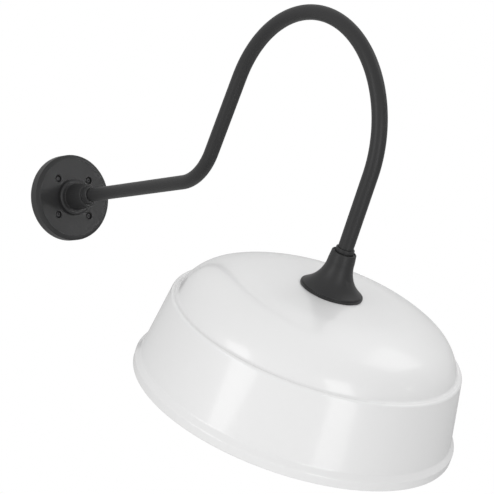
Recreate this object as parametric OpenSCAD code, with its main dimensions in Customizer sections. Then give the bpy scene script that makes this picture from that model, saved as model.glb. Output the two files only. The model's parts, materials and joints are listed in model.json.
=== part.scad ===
// Barn light: round wall plate, bent tube arm, flared neck casting and spun shade.
// The wall is the plane y = 0, the light stands out along -Y and +Z is up.

/* [Wall plate] */
// Outer diameter of the wall plate
plate_d = 144.6; // [136:0.2:160]
// Height of the plate's straight side
plate_side_h = 16.6; // [14:0.2:18]
// Distance from the wall to the plate's front face
plate_h = 20.6; // [19:0.2:26]
// Radial width of the cove around the plate's front edge
cove_w = 6.4; // [3:0.2:9]
// Depth of the cove's hollow
cove_sag = 0.6; // [0.2:0.1:1.2]
// Thickness of the plate's face
plate_t = 4.2; // [3:0.2:6]
// Thickness of the plate's rim wall
plate_rim_w = 8; // [7:0.2:10]
// Diameter of the circle that the plate screws stand on
screw_circle_d = 85; // [80:0.5:96]
// Diameter of the counterbores for the plate screws
counterbore_d = 11.2; // [9.6:0.2:12.4]
// Depth of the counterbores
counterbore_h = 4; // [3:0.2:6]
// Diameter of the screw pillars behind the plate's face
pillar_d = 16; // [14:0.5:19]
// Width of the foam gasket in the plate's rim
gasket_w = 4; // [2.5:0.1:5]
// Thickness of the foam gasket
gasket_t = 1.6; // [1:0.1:3]

/* [Mounting ring] */
// Outer diameter of the steel mounting ring
ring_d = 112; // [108:0.5:120]
// Thickness of the mounting ring
ring_t = 2.5; // [1.5:0.1:3.5]
// Diameter of the ring's wire hole
ring_bore_d = 36; // [28:0.5:44]
// Distance between the two wall slots
slot_spacing = 88.9; // [82.6:0.1:90]
// Width of a wall slot
slot_w = 4.8; // [4:0.1:5.6]
// Length of a wall slot
slot_l = 14; // [10:0.5:16]
// Distance of the ground screw from the centre
ground_x = 27; // [26:0.5:29]

/* [Hub] */
// Diameter of the hub's base ring
hub_base_d = 60.2; // [54:0.2:66]
// Height of the hub's base ring
hub_base_h = 7.6; // [6:0.2:10]
// Radius that rounds the base ring over
hub_base_round = 6; // [3:0.2:6]
// Diameter of the boss at its foot
hub_boss_d = 44.6; // [40:0.2:46]
// Diameter of the boss at its end
hub_end_d = 36.4; // [34:0.2:40]
// Length of the boss from the plate's face
hub_boss_l = 46; // [38:0.5:56]
// Diameter of the collar around the arm
hub_collar_d = 30; // [27:0.2:32]
// Length of the hub's collar
hub_collar_l = 11; // [6:0.5:16]
// Outer diameter of the threaded spigot behind the hub
spigot_d = 21.6; // [21:0.2:24]
// Width across the flats of the hub nut
hub_nut_af = 30; // [28:0.5:34]
// Height of the hub nut
hub_nut_h = 5; // [3:0.2:6]

/* [Arm] */
// Outer diameter of the arm tube
arm_d = 22.2; // [21:0.1:23]
// Wall of the arm tube
arm_wall = 2.4; // [1.8:0.1:2.6]
// Distance from the wall to the first bend
arm_reach = 330.5; // [200:0.5:500]
// Radius of the first bend, at the middle of the tube
bend_up_r = 88.8; // [60:0.2:140]
// Angle of the first bend
bend_up_a = 56.2; // [45:0.1:65]
// Length of the straight rise between the bends
arm_rise_l = 127.5; // [60:0.5:200]
// Radius of the second bend, at the middle of the tube
bend_over_r = 165.8; // [140:0.2:200]
// Angle of the second bend
bend_over_a = 174.9; // [165:0.1:180]
// Distance from the second bend to the shade's top
arm_drop = 174.3; // [130:0.5:240]
// Depth of the arm tube in the neck
arm_socket_l = 38.3; // [34:0.1:44]

/* [Neck] */
// Diameter of the neck's lip on the shade
lip_d = 90.4; // [84:0.2:98]
// Height of the lip's straight edge
lip_h = 3.2; // [2.5:0.1:5]
// Step above the lip's edge
lip_step = 2.4; // [0.3:0.1:3]
// Radius that rounds the lip over
lip_round = 2.8; // [2:0.1:4]
// Radius of the neck's hollow flare
flare_r = 48.9; // [45:0.1:52]
// Angle that the flare turns through
flare_a = 57.2; // [55:0.1:59]
// Diameter of the neck at its top edge
neck_top_d = 35.4; // [34:0.2:37]
// Height of the neck's top edge
neck_top = 59.8; // [56:0.1:66]
// Radius that rounds the top edge
neck_edge_r = 1.2; // [0.6:0.1:1.6]
// Depth of the groove between the top edge and the collar
neck_groove_h = 1.2; // [0.6:0.1:2]
// Diameter of the neck's collar around the arm
neck_collar_d = 26.8; // [26:0.2:29]
// Height of the neck's collar
neck_collar_h = 6; // [4:0.5:10]
// Wall of the neck casting
neck_wall = 3.5; // [2.5:0.1:4]
// Thickness of the web that the nipple hangs in
web_t = 8; // [5:0.5:10]
// Outer diameter of the threaded tail below the web
tail_d = 38; // [36:0.5:40]
// Wall of the threaded tail
tail_wall = 3; // [2:0.1:4]
// Length of the tail below the shade's top
tail_l = 14; // [11:0.5:18]
// Thickness of the rubber ring under the neck
seal_t = 2; // [1.2:0.1:3]
// Outer diameter of the shade's lock ring
lock_d = 60; // [54:0.5:70]
// Height of the shade's lock ring
lock_h = 6; // [4:0.2:8]

/* [Shade] */
// Thickness of the shade's sheet
shade_t = 1.5; // [1:0.1:1.8]
// Diameter of the flat seat at the shade's top
seat_d = 94; // [94:0.5:104]
// Radius of the shallow crown around the seat
crown_r = 690; // [500:5:900]
// Slope where the crown ends
crown_a = 4.4; // [3:0.1:6]
// Radius of the dome's curve
dome_r = 180; // [150:1:220]
// Slope where the dome's curve ends
dome_a = 29.1; // [25:0.1:35]
// Radius of the dome's edge
edge_r = 66; // [50:1:80]
// Slope where the dome's edge ends
edge_a = 72; // [65:0.5:80]
// Radius of the groove round the dome
groove_r = 2; // [1.5:0.1:4]
// Angle that the groove rises to
groove_a = 30; // [10:1:45]
// Radius of the rolled shoulder bead
bead_r = 4; // [3:0.1:6]
// Slope of the skirt
skirt_a = 80.1; // [76:0.1:86]
// Length of the skirt
skirt_l = 92.2; // [60:0.2:140]
// Radius between the skirt and the flange
flange_r = 6; // [3:0.2:10]
// Slope of the flange
flange_a = 50; // [30:1:65]
// Width of the flange
flange_w = 7.8; // [4:0.2:14]
// Radius of the flange's outer edge
rim_r = 3; // [2:0.1:4]
// Height of the rim's upright face
rim_h = 9.6; // [6:0.2:16]
// Radius of the rolled edge under the rim
hem_r = 2.2; // [2:0.1:3.2]

/* [Lamp holder] */
// Outer diameter of the threaded nipple
nipple_d = 9.8; // [9:0.1:11]
// Bore of the nipple
nipple_bore_d = 7; // [6.4:0.1:7.6]
// Width across the flats of the nipple nuts
nipple_nut_af = 13.6; // [13.2:0.1:14.2]
// Height of a nipple nut
nipple_nut_h = 3; // [2:0.1:4]
// Outer diameter of the holder's steel cap
cap_d = 45; // [44:0.5:50]
// Sheet of the cap
cap_t = 1.6; // [1:0.1:2]
// Height of the cap
cap_h = 16; // [15:0.5:22]
// Height of the terminal space in the cap
terminal_h = 11; // [10.5:0.1:13]
// Diameter of the porcelain's flange below the cap
holder_flange_d = 47; // [46:0.5:52]
// Diameter of the porcelain at its mouth
holder_mouth_d = 43; // [42:0.5:45]
// Height of the porcelain body
holder_h = 39; // [37:0.5:46]
// Thickness of the porcelain above the screw shell
holder_web_t = 10.5; // [9:0.5:13]
// Outer diameter of the screw shell
shell_d = 27.4; // [26.8:0.1:28]
// Sheet of the screw shell
shell_t = 0.6; // [0.4:0.1:0.8]
// Distance of a terminal screw from the axis
terminal_y = 11; // [10:0.1:12]

/* [Wiring] */
// Outer diameter of an insulated lead
lead_d = 2.2; // [1.8:0.1:2.4]
// Distance between the two leads in the arm
lead_pitch = 3.2; // [2.6:0.1:3.6]
// Radius of a lead's turn at its ends, at the middle of the lead
lead_turn_r = 3.6; // [2.8:0.1:4]
// Length of a twist-on wire connector
connector_l = 20; // [16:0.5:24]
// Diameter of a wire connector at its skirt
connector_d = 8.4; // [7:0.2:8.6]

/* [Lamp] */
// Diameter of the lamp's screw base
base_d = 25.6; // [25:0.1:25.8]
// Length of the lamp's screw base
base_l = 22; // [20:0.5:24]
// Diameter of the globe
globe_d = 60; // [50:1:70]
// Length of the lamp from its tip to the end of the globe
lamp_l = 108; // [100:1:130]
// Diameter of the housing next to the base
housing_d = 28.6; // [27:0.2:32]
// Wall of the lamp's housing
housing_t = 2.4; // [1.6:0.1:3]
// Wall of the globe
globe_t = 1.2; // [0.8:0.1:2]
// Gap between the lamp and the holder
lamp_gap = 0.3; // [0.2:0.05:0.5]

/* [Fits] */
// Radial clearance of a piece in its hole
fit = 0.1; // [0.05:0.05:0.2]
// Radial clearance of a screw in a plain hole
screw_fit = 0.4; // [0.2:0.1:0.6]

/* [Hidden] */
$fn = 96;
eps = 0.01;

// Colours
black_paint = [0.27, 0.27, 0.27];
white_enamel = [0.92, 0.92, 0.91];
zinc = [0.72, 0.73, 0.75];
brass = [0.80, 0.64, 0.34];
copper_green = [0.20, 0.45, 0.28];
foam = [0.12, 0.12, 0.12];
porcelain = [0.93, 0.92, 0.88];
frosted = [0.97, 0.96, 0.92];

// Wall plate
plate_r = plate_d / 2;
hollow_r = plate_r - plate_rim_w;
plate_back = plate_h - plate_t;
gasket_mid_r = plate_r - plate_rim_w / 2;
screw_count = 4;
screw_first_a = 45;
screw_r = 2;
screw_head_r = 4.1;
screw_head_h = 2.8;
screw_end = 0.4;
recess_w = 1;
counterbore_floor = plate_h - counterbore_h;

// Hub
hub_base_top = plate_h + hub_base_h;
hub_end = plate_h + hub_boss_l;
hub_top = hub_end + hub_collar_l;
hub_bore_r = arm_d / 2 + fit;
spigot_bore_r = arm_d / 2 - arm_wall;
spigot_end = plate_back - hub_nut_h - 2;
arm_start = hub_base_top + 4.4;
hub_screw_d = hub_end - 16;
hub_edge = 1.4;

// Set screws of the hub and the neck
set_screw_r = 2.5;
set_screw_l = 5;
set_socket_r = 1.4;
set_socket_h = 2.5;

// Arm, as points in its own upright plane: x is the distance from the wall, y is the height
drop_a = bend_up_a - bend_over_a;
bend_thinning = 0.05;
bend_lap = 0.3;
rise_start = [arm_reach + bend_up_r * sin(bend_up_a), bend_up_r * (1 - cos(bend_up_a))];
rise_end = rise_start + arm_rise_l * [cos(bend_up_a), sin(bend_up_a)];
over_centre = rise_end + bend_over_r * [sin(bend_up_a), -cos(bend_up_a)];
over_end = over_centre + bend_over_r * [-sin(drop_a), cos(drop_a)];
seat = over_end + arm_drop * [cos(drop_a), sin(drop_a)];

// Neck, as radius and height above the shade's seat
lip_r = lip_d / 2;
lip_centre = [lip_r - lip_step - lip_round, lip_h];
flare_centre = lip_centre + (lip_round + flare_r) * [cos(flare_a), sin(flare_a)];
neck_groove_r = neck_top_d / 2 - 2;
collar_top = neck_top + neck_collar_h;
web_top = collar_top - arm_socket_l;
web_bottom = web_top - web_t;
cavity_r = flare_r + neck_wall;
cavity_a = asin((flare_centre[1] - web_bottom) / cavity_r);
tail_r = tail_d / 2;
neck_bore_r = arm_d / 2 + fit;
neck_screw_z = (neck_top + web_top) / 2 + 4;

// Shade, as radius and height above its seat; each curve starts where the last one ends
crown_centre = [seat_d / 2, -crown_r];
dome_centre = crown_centre + (crown_r - dome_r) * slope_normal(crown_a);
edge_centre = dome_centre + (dome_r - edge_r) * slope_normal(dome_a);
groove_centre = edge_centre + (edge_r + groove_r) * slope_normal(edge_a);
bead_centre = groove_centre - (groove_r + bead_r) * slope_normal(-groove_a);
skirt_start = bead_centre + bead_r * slope_normal(skirt_a);
skirt_end = skirt_start + skirt_l * slope_along(skirt_a);
flange_centre = skirt_end + flange_r * slope_normal(skirt_a);
flange_start = flange_centre - flange_r * slope_normal(flange_a);
flange_end = flange_start + flange_w * slope_along(flange_a);
rim_centre = flange_end - rim_r * slope_normal(flange_a);
hem_centre = rim_centre + [rim_r - hem_r, -rim_h];
shade_hole_r = tail_r + 4 * fit;

// Lamp holder, as heights above the shade's seat
cap_top = -tail_l;
cap_floor = cap_top - cap_t;
cap_end = cap_top - cap_h;
body_top = cap_floor - terminal_h;
flange_top = cap_end - 0.3;
flange_bottom = flange_top - 4.7;
body_end = body_top - holder_h;
shell_top = body_top - holder_web_t;
shell_end = body_end + 4;
nipple_top = web_top + nipple_nut_h + 3;
nipple_end = cap_floor - nipple_nut_h - 0.5;
terminal_t = 1;
terminal_head_r = 3.2;
terminal_head_h = 2;
contact_r = 2.2;
contact_head_r = 3.6;
contact_head_h = 1.4;
holder_screw_y = (shell_d / 2 + cap_d / 2 - cap_t) / 2;
holder_screw_r = 1.4;
holder_head_r = 2.4;
holder_head_h = 1.8;

// Leads
lead_r = lead_d / 2;
lead_start = spigot_end - lead_r - fit + lead_turn_r;
lead_stop = arm_drop - nipple_end + 1.2;
connector_y = max(ring_bore_d, hub_nut_af * 1.2) / 2 + 1;
connector_x = lead_start - lead_turn_r;

// Lamp, as heights above the shade's seat
tip_top = shell_top - shell_t - contact_head_h - lamp_gap;
tip_r = 2.8;
tip_h = 1.2;
insulator_h = 4.8;
base_top = tip_top - tip_h - insulator_h;
base_end = base_top - base_l;
housing_top = min(base_end, body_end - lamp_gap);
lamp_end = tip_top - lamp_l;
globe_r = globe_d / 2;
globe_z = lamp_end + globe_r;

// Direction square to a surface that slopes down by the angle a
function slope_normal(a) = [sin(a), cos(a)];

// Direction down a surface that slopes by the angle a
function slope_along(a) = [cos(a), -sin(a)];

// Points on an arc from angle a to angle b, measured from the upright
function arc_points(centre, r, a, b, steps = 8) =
    [for (i = [0:steps]) centre + r * slope_normal(a + (b - a) * i / steps)];

// The shade's profile, moved inwards by k
function shade_path(k) = concat(
    [[shade_hole_r, -k]],
    arc_points(crown_centre, crown_r - k, 0, crown_a, 3),
    arc_points(dome_centre, dome_r - k, crown_a, dome_a, 8),
    arc_points(edge_centre, edge_r - k, dome_a, edge_a, 9),
    arc_points(groove_centre, -groove_r - k, edge_a, -groove_a, 6),
    arc_points(bead_centre, bead_r - k, -groove_a, skirt_a, 8),
    arc_points(flange_centre, -flange_r - k, skirt_a, flange_a, 4),
    arc_points(rim_centre, rim_r - k, flange_a, 90, 4),
    arc_points(hem_centre, hem_r - k, 90, 270, 8)
);

// Turns local +Z out from the wall, with local +Y up
module outward() {
    rotate([90, 0, 0]) children();
}

// Local X is the distance from the wall and local Y is the height
module in_arm_plane() {
    rotate([90, 0, -90]) children();
}

// Local +Z runs up the shade's axis from its seat, and local +Y is the side next to the wall
module on_shade() {
    in_arm_plane() translate(seat) rotate([0, 0, drop_a + 180]) rotate([0, 90, 0]) children();
}

// Straight length of tube in the arm's plane, from a point along the angle a
module straight_run(from, a, l, r_out, r_in) {
    translate(from) rotate([0, 0, a]) rotate([90, 0, 90]) tube(r_out, r_in, l);
}

// Bend in the arm's plane, drawn a touch slimmer than the straights that lap over its ends
module bend_run(centre, from_a, a, r, r_out, r_in) {
    translate(centre) rotate([0, 0, from_a]) rotate_extrude(angle = a)
        translate([r, 0]) ring_2d(r_out - bend_thinning, r_in > 0 ? r_in + bend_thinning : 0);
}

// Round section carried along the arm, from a distance off the wall to a distance past the second bend
module arm_run(r_out, r_in, start, stop, side = 0) {
    $fn = 48;
    in_arm_plane() {
        straight_run([start, side], 0, arm_reach - start + bend_lap, r_out, r_in);
        bend_run([arm_reach, bend_up_r], -90, bend_up_a, bend_up_r - side, r_out, r_in);
        straight_run(
            rise_start - bend_lap * [cos(bend_up_a), sin(bend_up_a)] + side * [-sin(bend_up_a), cos(bend_up_a)],
            bend_up_a, arm_rise_l + 2 * bend_lap, r_out, r_in
        );
        bend_run(over_centre, drop_a + 90, bend_over_a, bend_over_r + side, r_out, r_in);
        straight_run(
            over_end - bend_lap * [cos(drop_a), sin(drop_a)] + side * [-sin(drop_a), cos(drop_a)],
            drop_a, stop + bend_lap, r_out, r_in
        );
    }
}

// Flat ring
module ring_2d(r_out, r_in) {
    difference() {
        circle(r_out);
        if (r_in > 0) circle(r_in);
    }
}

// Ring with height
module tube(r_out, r_in, h) {
    linear_extrude(h) ring_2d(r_out, r_in);
}

// Hexagonal nut with a round hole
module hex_nut(af, r_in, h) {
    difference() {
        cylinder(h = h, r = af / sqrt(3), $fn = 6);
        translate([0, 0, -eps]) cylinder(h = h + 2 * eps, r = r_in);
    }
}

// Pan-head screw, head up, with its seat at z = 0
module pan_screw(r, l, head_r, head_h, slot_w) {
    difference() {
        union() {
            translate([0, 0, -l]) cylinder(h = l + eps, r = r);
            rotate_extrude() polygon(concat(
                [[0, 0], [head_r, 0]],
                [for (a = [90:-15:0]) [head_r * sin(a), head_h * (0.25 + 0.75 * cos(a))]]
            ));
        }
        for (a = [0, 90]) rotate([0, 0, a])
            translate([-head_r * 0.55, -slot_w / 2, head_h * 0.45]) cube([head_r * 1.1, slot_w, head_h]);
    }
}

// Set screw that presses on the arm tube; its axis is +X
module set_screw(r_in) {
    translate([r_in, 0, 0]) rotate([0, 90, 0]) difference() {
        cylinder(h = set_screw_l, r = set_screw_r);
        translate([0, 0, set_screw_l - set_socket_h])
            cylinder(h = set_socket_h + eps, r = set_socket_r, $fn = 6);
    }
}

// Hole for a set screw, out along +X
module set_screw_hole() {
    rotate([0, 90, 0]) cylinder(h = 40, r = set_screw_r + fit);
}

// Repeats its children at the four plate screws
module at_plate_screws() {
    for (i = [0:screw_count - 1])
        rotate([0, 0, screw_first_a + i * 360 / screw_count])
            translate([screw_circle_d / 2, 0, 0]) children();
}

// Cuts the cove out of the plate's front corner
module cove_cut() {
    foot = [plate_r, plate_side_h];
    head = [plate_r - cove_w, plate_h];
    chord = norm(head - foot);
    r = (chord * chord / 4 + cove_sag * cove_sag) / (2 * cove_sag);
    out = [plate_h - plate_side_h, cove_w] / chord;
    translate((foot + head) / 2 + (r - cove_sag) * out) circle(r);
    polygon([foot, head, head + [cove_w + 1, 0], foot + [1, 0]]);
}

module wall_plate() {
    color(black_paint) outward() difference() {
        union() {
            rotate_extrude() difference() {
                translate([spigot_d / 2 + 2 * fit, 0]) square([plate_r - spigot_d / 2 - 2 * fit, plate_h]);
                translate([0, -eps]) square([hollow_r, plate_back + eps]);
                translate([gasket_mid_r - gasket_w / 2 - fit, -eps])
                    square([gasket_w + 2 * fit, gasket_t + fit + eps]);
                cove_cut();
            }
            at_plate_screws() translate([0, 0, ring_t]) cylinder(h = plate_h - ring_t - 1, d = pillar_d);
        }
        at_plate_screws() {
            cylinder(h = plate_h, r = screw_r + screw_fit);
            translate([0, 0, counterbore_floor]) cylinder(h = counterbore_h + 1, d = counterbore_d);
        }
    }
}

module wall_gasket() {
    color(foam) outward() tube(gasket_mid_r + gasket_w / 2, gasket_mid_r - gasket_w / 2, gasket_t);
}

module mounting_ring() {
    color(zinc) outward() difference() {
        tube(ring_d / 2, ring_bore_d / 2, ring_t);
        at_plate_screws() translate([0, 0, -eps]) cylinder(h = ring_t + 2 * eps, r = screw_r + fit);
        for (side = [-1, 1]) translate([side * slot_spacing / 2, 0, -eps]) {
            slot_straight = slot_l - slot_w;
            translate([-slot_straight / 2, -slot_w / 2, 0]) cube([slot_straight, slot_w, ring_t + 2 * eps]);
            for (end = [-1, 1]) translate([end * slot_straight / 2, 0, 0])
                cylinder(h = ring_t + 2 * eps, d = slot_w);
        }
        translate([ground_x, 0, -eps]) cylinder(h = ring_t + 2 * eps, r = screw_r + fit);
    }
}

module ground_screw() {
    color(copper_green) outward() translate([ground_x, 0, ring_t])
        pan_screw(screw_r, ring_t - screw_end, screw_head_r, screw_head_h, recess_w);
}

module plate_screws() {
    color(black_paint) outward() at_plate_screws() translate([0, 0, counterbore_floor])
        pan_screw(screw_r, counterbore_floor - screw_end, screw_head_r, screw_head_h, recess_w);
}

module arm_hub() {
    base_r = hub_base_d / 2;
    foot_r = hub_boss_d / 2;
    end_r = hub_end_d / 2;
    collar_r = hub_collar_d / 2;
    round_centre = [base_r - hub_base_round, hub_base_top - hub_base_round];
    color(black_paint) outward() difference() {
        rotate_extrude() polygon(concat(
            [[spigot_bore_r, spigot_end], [spigot_d / 2, spigot_end]],
            [[spigot_d / 2, plate_h], [base_r, plate_h]],
            [for (a = [90:-15:0]) round_centre + hub_base_round * slope_normal(a)],
            [[foot_r, hub_base_top], [end_r, hub_end - hub_edge], [end_r - hub_edge, hub_end]],
            [[collar_r, hub_end], [collar_r - 0.8, hub_top - 2], [collar_r - 2, hub_top]],
            [[hub_bore_r, hub_top], [hub_bore_r, arm_start], [spigot_bore_r, arm_start]]
        ));
        translate([0, 0, hub_screw_d]) set_screw_hole();
    }
}

module hub_nut() {
    color(zinc) outward() translate([0, 0, plate_back - hub_nut_h])
        hex_nut(hub_nut_af, spigot_d / 2 + fit, hub_nut_h);
}

module hub_set_screw() {
    color(black_paint) outward() translate([0, 0, hub_screw_d]) set_screw(arm_d / 2);
}

module gooseneck_arm() {
    color(black_paint) arm_run(arm_d / 2, arm_d / 2 - arm_wall, arm_start, arm_drop - web_top);
}

module shade_neck() {
    color(black_paint) on_shade() difference() {
        rotate_extrude() difference() {
            union() {
                polygon(concat(
                    [[0, 0], [lip_r - 0.5, 0], [lip_r, 0.5], [lip_r, lip_h]],
                    arc_points(lip_centre, lip_round, 90, 90 - flare_a, 6),
                    [for (a = [flare_a:-8:0]) flare_centre - flare_r * [cos(a), sin(a)]],
                    arc_points([neck_top_d / 2, neck_top] - neck_edge_r * [1, 1], neck_edge_r, 90, 0, 5),
                    [[neck_groove_r, neck_top], [neck_groove_r, neck_top - neck_groove_h]],
                    [[neck_collar_d / 2, neck_top - neck_groove_h], [neck_collar_d / 2, collar_top - 1]],
                    [[neck_collar_d / 2 - 1, collar_top], [0, collar_top]]
                ));
                translate([0, -tail_l]) square([tail_r, tail_l + eps]);
            }
            polygon(concat(
                [[tail_r, -eps], [flare_centre[0] - cavity_r * cos(flare_a), -eps]],
                [for (a = [flare_a:-(flare_a - cavity_a) / 5:cavity_a - eps])
                    flare_centre - cavity_r * [cos(a), sin(a)]],
                [[tail_r, web_bottom]]
            ));
            translate([-eps, web_top]) square([neck_bore_r + eps, arm_socket_l + 1]);
            translate([-eps, -tail_l - 1]) square([nipple_d / 2 + fit + eps, tail_l + web_top + 2]);
            translate([-eps, -tail_l - 1]) square([tail_r - tail_wall + eps, tail_l + web_bottom + 1]);
        }
        translate([0, 0, neck_screw_z]) rotate([0, 0, 90]) set_screw_hole();
    }
}

module neck_set_screw() {
    color(black_paint) on_shade() translate([0, 0, neck_screw_z]) rotate([0, 0, 90]) set_screw(arm_d / 2);
}

module neck_seal() {
    seal_r = flare_centre[0] - cavity_r * cos(flare_a) - 0.4;
    color(foam) on_shade() tube(seal_r, tail_r + 2 * fit, seal_t);
}

module shade() {
    inner = shade_path(shade_t);
    last = len(inner) - 1;
    color(white_enamel) on_shade()
        rotate_extrude($fn = 160) polygon(concat(shade_path(0), [for (i = [last:-1:0]) inner[i]]));
}

module shade_lock_ring() {
    color(zinc) on_shade() translate([0, 0, -shade_t - lock_h]) difference() {
        tube(lock_d / 2, tail_r + fit, lock_h);
        for (a = [0:60:300]) rotate([0, 0, a])
            translate([lock_d / 2 - 3, -2.5, -eps]) cube([5, 5, lock_h - 1.5]);
    }
}

module nipple() {
    color(zinc) on_shade() translate([0, 0, nipple_end])
        tube(nipple_d / 2, nipple_bore_d / 2, nipple_top - nipple_end);
}

module nipple_nuts() {
    color(zinc) on_shade() for (z = [web_top, cap_floor - nipple_nut_h])
        translate([0, 0, z]) hex_nut(nipple_nut_af, nipple_d / 2 + fit, nipple_nut_h);
}

module holder_cap() {
    color(zinc) on_shade() difference() {
        translate([0, 0, cap_end]) cylinder(h = cap_h, d = cap_d);
        translate([0, 0, cap_end - eps]) cylinder(h = cap_h - cap_t + eps, d = cap_d - 2 * cap_t);
        translate([0, 0, cap_floor - eps]) cylinder(h = cap_t + 2 * eps, r = nipple_d / 2 + fit);
        for (side = [-1, 1]) translate([side * holder_screw_y, 0, cap_floor - eps])
            cylinder(h = cap_t + 2 * eps, r = holder_screw_r + fit);
    }
}

module holder_body() {
    cap_in_r = cap_d / 2 - cap_t - fit;
    flange_r_out = holder_flange_d / 2;
    mouth_r = holder_mouth_d / 2;
    cavity = shell_d / 2 + fit;
    color(porcelain) on_shade() difference() {
        rotate_extrude() polygon([
            [contact_r + fit, body_top], [cap_in_r - 1, body_top], [cap_in_r, body_top - 1],
            [cap_in_r, flange_top], [flange_r_out - 1, flange_top],
            [flange_r_out, flange_top - 1], [flange_r_out, flange_bottom + 1],
            [flange_r_out - 1, flange_bottom], [mouth_r + 1.5, flange_bottom], [mouth_r, body_end + 2],
            [mouth_r - 1.5, body_end], [cavity, body_end], [cavity, shell_top], [contact_r + fit, shell_top]
        ]);
        for (side = [-1, 1]) {
            translate([side * holder_screw_y, 0, body_end - 1])
                cylinder(h = holder_h + 2, r = holder_screw_r + fit);
            translate([side * holder_screw_y, 0, body_end - 1])
                cylinder(h = holder_head_h + 3, r = holder_head_r + fit);
            translate([0, side * terminal_y, shell_top + 3])
                cylinder(h = holder_web_t, r = screw_r - 0.5 + fit);
        }
    }
}

module holder_screws() {
    color(zinc) on_shade() for (side = [-1, 1]) {
        foot = body_end + 2;
        translate([side * holder_screw_y, 0, foot]) {
            cylinder(h = holder_head_h, r = holder_head_r);
            cylinder(h = cap_top - foot - 2 * fit, r = holder_screw_r);
        }
    }
}

module screw_shell() {
    color(brass) on_shade() difference() {
        translate([0, 0, shell_end]) cylinder(h = shell_top - shell_end, d = shell_d);
        translate([0, 0, shell_end - eps])
            cylinder(h = shell_top - shell_end - shell_t + eps, d = shell_d - 2 * shell_t);
        translate([0, 0, shell_end]) cylinder(h = shell_top - shell_end + 1, r = contact_head_r + 2);
    }
}

module centre_contact() {
    color(brass) on_shade() {
        translate([0, 0, shell_top - shell_t - contact_head_h])
            cylinder(h = contact_head_h + shell_t, r = contact_head_r);
        translate([0, 0, shell_top - eps]) cylinder(h = holder_web_t + eps, r = contact_r);
    }
}

module terminal_screws() {
    color(brass) on_shade() for (side = [-1, 1]) translate([0, side * terminal_y, body_top]) {
        translate([-terminal_head_r, -terminal_head_r, 0])
            cube([2 * terminal_head_r, 2 * terminal_head_r, terminal_t]);
        translate([0, 0, terminal_t])
            pan_screw(screw_r - 0.5, terminal_t + 4, terminal_head_r, terminal_head_h, recess_w);
    }
}

// End of a lead: a quarter turn off the tube's axis and a short straight
module lead_end(reach) {
    turn_y = lead_pitch / 2 + lead_turn_r;
    bend_run([0, turn_y], 180, 90, lead_turn_r, lead_r, 0);
    straight_run([-lead_turn_r, turn_y - bend_lap], 90, reach - turn_y + bend_lap, lead_r, 0);
}

// One lead from its connector behind the hub to its terminal on the holder; side is 1 or -1
module lead(side) {
    $fn = 32;
    flip = 90 - 90 * side;
    arm_run(lead_r, 0, lead_start - bend_lap, lead_stop + bend_lap, side * lead_pitch / 2);
    in_arm_plane() {
        translate([lead_start, 0]) rotate([flip, 0, 0]) lead_end(connector_y);
        translate(over_end) rotate([0, 0, drop_a]) translate([lead_stop, 0])
            rotate([flip, 180, 0]) lead_end(terminal_y - terminal_head_r - 0.2);
    }
}

module line_lead() {
    color([0.1, 0.1, 0.1]) lead(1);
}

module neutral_lead() {
    color([0.9, 0.9, 0.9]) lead(-1);
}

module wire_connectors() {
    color("orange") in_arm_plane() for (side = [0, 1]) mirror([0, side, 0])
        translate([connector_x, connector_y]) rotate([-90, 0, 0]) rotate_extrude() polygon([
            [0, 0], [connector_d / 2, 0], [connector_d / 2, connector_l * 0.3],
            [connector_d * 0.3, connector_l - 1], [connector_d * 0.3 - 1, connector_l], [0, connector_l]
        ]);
}

module lamp_tip() {
    color(zinc) on_shade() translate([0, 0, tip_top - tip_h])
        cylinder(h = tip_h, r1 = tip_r + 0.8, r2 = tip_r);
}

module lamp_insulator() {
    color(foam) on_shade() translate([0, 0, base_top])
        cylinder(h = insulator_h, r1 = base_d / 2 - 3, r2 = tip_r + 1.4);
}

module lamp_base() {
    base_r = base_d / 2;
    base_t = 1;
    color(zinc) on_shade() rotate_extrude() polygon([
        [0, base_top], [base_r - 2, base_top], [base_r, base_top - 2.5], [base_r, base_end],
        [base_r - base_t, base_end], [base_r - base_t, base_top - 3], [base_r - 2.8, base_top - base_t],
        [0, base_top - base_t]
    ]);
}

module lamp_housing() {
    neck_r = housing_d / 2;
    seat_r = globe_r * 0.93;
    seat_z = globe_z + globe_r * 0.35;
    wide_r = globe_r * 0.76;
    wide_z = globe_z + globe_r * 0.78;
    color(white_enamel) on_shade() rotate_extrude() polygon([
        [0, base_end], [base_d / 2, base_end], [base_d / 2, housing_top], [neck_r, housing_top],
        [neck_r, housing_top - 6], [wide_r, wide_z], [seat_r, seat_z], [0, seat_z], [0, seat_z + housing_t],
        [seat_r - housing_t * 1.3, seat_z + housing_t], [wide_r - housing_t, wide_z - 1],
        [neck_r - housing_t, housing_top - 7], [neck_r - housing_t, base_end - housing_t], [0, base_end - housing_t]
    ]);
}

module lamp_globe() {
    seat_z = globe_z + globe_r * 0.35;
    inner_r = globe_r - globe_t;
    color(frosted) on_shade() rotate_extrude() polygon(concat(
        [[globe_r * 0.93 - globe_t, seat_z]],
        [for (a = [70:10:180]) [globe_r * (a > 179 ? 0 : sin(a)), globe_z + globe_r * cos(a)]],
        [for (a = [180:-10:70]) [inner_r * (a > 179 ? 0 : sin(a)), globe_z + inner_r * cos(a)]]
    ));
}

wall_plate();
wall_gasket();
mounting_ring();
ground_screw();
plate_screws();
arm_hub();
hub_nut();
hub_set_screw();
gooseneck_arm();
shade_neck();
neck_set_screw();
neck_seal();
shade();
shade_lock_ring();
nipple();
nipple_nuts();
holder_cap();
holder_body();
holder_screws();
screw_shell();
centre_contact();
terminal_screws();
line_lead();
neutral_lead();
wire_connectors();
lamp_tip();
lamp_insulator();
lamp_base();
lamp_housing();
lamp_globe();
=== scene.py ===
"""Looks of a gooseneck barn light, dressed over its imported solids.

Lengths are millimetres in the row's frame unless a name says otherwise: the wall is
the plane y = 0, the light stands out along -Y and +Z is up.
"""

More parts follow.
